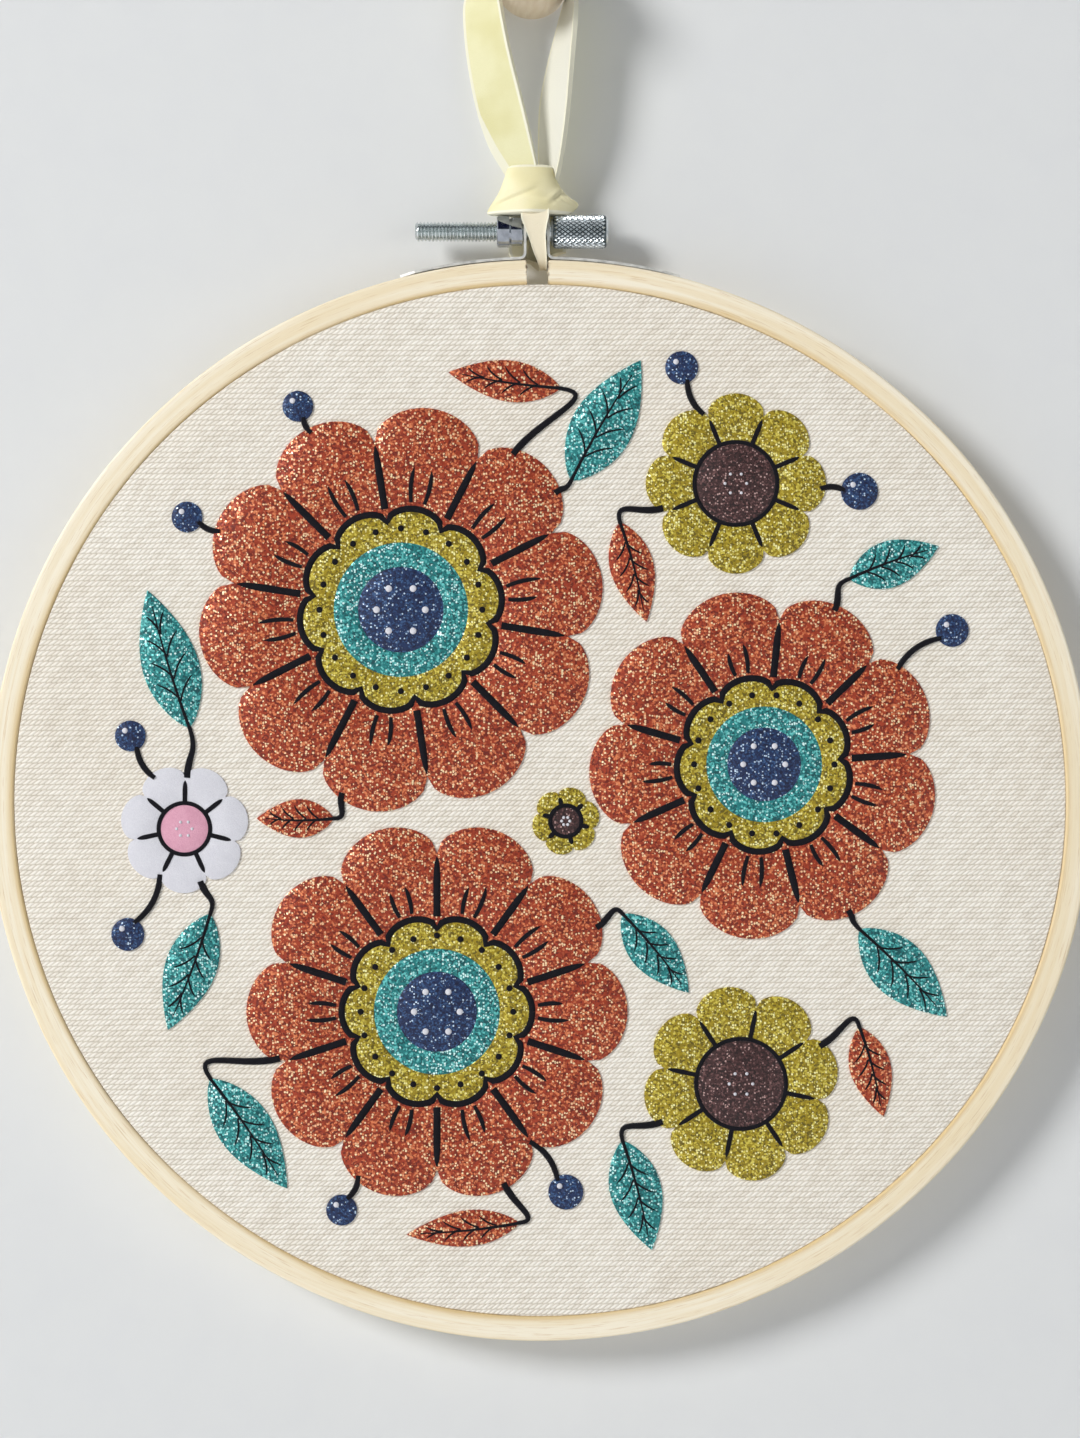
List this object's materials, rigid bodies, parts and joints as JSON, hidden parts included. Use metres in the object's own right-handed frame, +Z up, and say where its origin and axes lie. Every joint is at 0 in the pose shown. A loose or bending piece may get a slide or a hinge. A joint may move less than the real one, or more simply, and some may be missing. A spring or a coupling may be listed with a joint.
{
  "type": "hoop embroidery art on a wooden wall peg",
  "caption": "Round bamboo hoop with glitter film flowers on stretched canvas, closed by a screw clamp and hung by a knotted velvet ribbon from a wooden wall peg",
  "frame": {"origin": "middle of the peg's flat end, where it meets the wall", "axes": "+Z up, +X to the right seen from the front, -Y towards the viewer, so +Y points into the wall"},
  "size_m": [0.214, 0.0206, 0.2746],
  "materials": {
    "bamboo": "pale, bare, streaky grain",
    "peg_wood": "smooth sanded",
    "canvas": "heavy cream weave, taut",
    "velvet": "pale yellow velvet, cream back",
    "plated_steel": "bright plated",
    "bright_nut": "polished",
    "copper_film": "glitter",
    "gold_film": "glitter",
    "teal_film": "glitter",
    "navy_film": "glitter",
    "brown_film": "glitter",
    "white_film": "soft matt",
    "pink_film": "soft matt",
    "black_flock": "flocked line work"
  },
  "bodies": {
    "hoop": {"wall_peg": "peg_wood", "outer_ring": "bamboo", "inner_ring": "bamboo", "canvas": "canvas", "clamp_plate_left": "plated_steel", "clamp_plate_right": "plated_steel", "nut": "bright_nut", "ribbon": "velvet", "bloom_top_copper": "copper_film", "bloom_top_gold": "gold_film", "bloom_top_teal": "teal_film", "bloom_top_navy": "navy_film", "bloom_side_copper": "copper_film", "bloom_side_gold": "gold_film", "bloom_side_teal": "teal_film", "bloom_side_navy": "navy_film", "bloom_low_copper": "copper_film", "bloom_low_gold": "gold_film", "bloom_low_teal": "teal_film", "bloom_low_navy": "navy_film", "blossom_top_gold": "gold_film", "blossom_top_brown": "brown_film", "blossom_low_gold": "gold_film", "blossom_low_brown": "brown_film", "blossom_mid_gold": "gold_film", "blossom_mid_brown": "brown_film", "blossom_side_white": "white_film", "blossom_side_pink": "pink_film", "leaf_top": "teal_film", "leaf_left": "teal_film", "leaf_right_upper": "teal_film", "leaf_right_lower": "teal_film", "leaf_bottom": "teal_film", "leaf_left_bottom": "teal_film", "leaf_left_lower": "teal_film", "leaf_middle": "teal_film", "pod_top": "copper_film", "pod_upper": "copper_film", "pod_left": "copper_film", "pod_right": "copper_film", "pod_bottom": "copper_film", "berry_1": "navy_film", "berry_2": "navy_film", "berry_3": "navy_film", "berry_4": "navy_film", "berry_5": "navy_film", "berry_6": "navy_film", "berry_7": "navy_film", "berry_8": "navy_film", "berry_9": "navy_film"},
    "thumb_screw": {"thumb_screw": "plated_steel"}
  },
  "joints": [
    {"name": "thumb_screw_turn", "type": "hinge", "parent": "hoop", "child": "thumb_screw", "pos_m": [0.0016, -0.0064, -0.0501], "axis": [1, 0, 0], "range_deg": [0, 180]}
  ]
}
